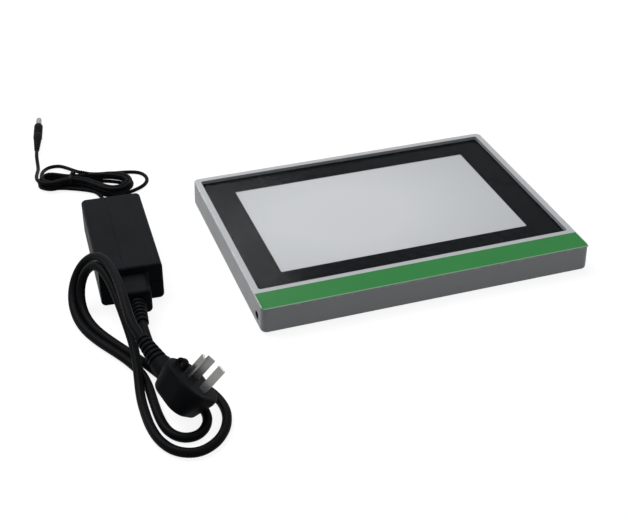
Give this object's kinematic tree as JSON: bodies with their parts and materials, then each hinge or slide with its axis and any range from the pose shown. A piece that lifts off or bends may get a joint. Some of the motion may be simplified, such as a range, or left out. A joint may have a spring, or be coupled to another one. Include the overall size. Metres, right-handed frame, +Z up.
{
  "type": "light pad transilluminator",
  "caption": "Flat light pad with a glass top, black border and green front band, with a mains adapter, coiled leads and plugs.",
  "frame": {"origin": "middle of the pad's footprint, on the ground that its feet stand on", "axes": "+Z up, -Y towards the front edge with the green band, +X to the right as seen from the front"},
  "size_m": [0.4136, 0.5316, 0.0511],
  "materials": {
    "case_silver": "pale silver grey, fine satin grain",
    "green_film": "printed green film, soft gloss",
    "panel_glass": "clear, polished",
    "black_border": "black ink seen through the glass",
    "black_tape": "thin black foam tape",
    "opal_sheet": "opal white, unlit",
    "clear_guide": "clear acrylic with a dot pattern",
    "white_film": "matt white film",
    "aluminium_sheet": "mill finish",
    "circuit_white": "white solder mask",
    "lamp_yellow": "yellow phosphor",
    "steel_screws": "zinc plated",
    "cover_grey": "fine grain",
    "black_rubber": "satin",
    "black_plastic": "satin",
    "black_gloss": "gloss",
    "bright_metal": "nickel plated",
    "circuit_green": "solder mask",
    "dark_parts": "moulded and sleeved parts",
    "wire_black": "thin insulated wire",
    "adapter_black": "fine satin grain",
    "ferrite_grey": "sintered",
    "winding_tape": "yellow polyester tape",
    "cord_black": "satin sheath",
    "tie_black": "plastic coated wire tie"
  },
  "bodies": {
    "pad_and_adapter": {"top_case": "case_silver", "label_band": "green_film", "glass_panel": "panel_glass", "border_print": "black_border", "glass_tape": "black_tape", "diffuser_sheet": "opal_sheet", "light_guide": "clear_guide", "reflector_sheet": "white_film", "backing_plate": "aluminium_sheet", "led_strip_front": "circuit_white", "leds_front": "lamp_yellow", "led_strip_back": "circuit_white", "leds_back": "lamp_yellow", "plate_screws": "steel_screws", "bottom_cover": "cover_grey", "cover_screws": "steel_screws", "rubber_feet": "black_rubber", "dc_jack_body": "black_plastic", "dc_jack_pin": "bright_metal", "switch_housing": "black_plastic", "switch_terminals": "bright_metal", "driver_board": "circuit_green", "driver_parts": "dark_parts", "board_screws": "steel_screws", "pad_wires": "wire_black", "adapter_bottom_shell": "adapter_black", "adapter_top_shell": "adapter_black", "adapter_feet": "black_rubber", "inlet_housing": "black_plastic", "inlet_pins": "bright_metal", "adapter_board": "circuit_green", "adapter_transformer_core": "ferrite_grey", "adapter_winding": "winding_tape", "adapter_capacitors": "dark_parts", "adapter_heatsinks": "aluminium_sheet", "adapter_boot": "black_rubber", "dc_lead": "cord_black", "dc_lead_end": "cord_black", "dc_hank": "cord_black", "hank_tie": "tie_black", "dc_plug_body": "black_rubber", "dc_plug_barrel": "bright_metal", "dc_plug_insulator": "black_plastic", "dc_plug_contact": "bright_metal"},
    "rocker": {"switch_rocker": "black_gloss"},
    "mains_cord": {"mains_connector": "black_rubber", "mains_lead": "cord_black", "mains_plug_body": "black_rubber", "mains_plug_pins": "bright_metal"}
  },
  "joints": [
    {"name": "rocker_tilt", "type": "hinge", "parent": "pad_and_adapter", "child": "rocker", "pos_m": [0.13555, -0.0919, 0.012], "axis": [0, 0, 1], "range_deg": [0, 20]},
    {"name": "connector_pull", "type": "slide", "parent": "pad_and_adapter", "child": "mains_cord", "axis": [-0.056, -0.9984, 0], "range_m": [0, 0.02]}
  ]
}
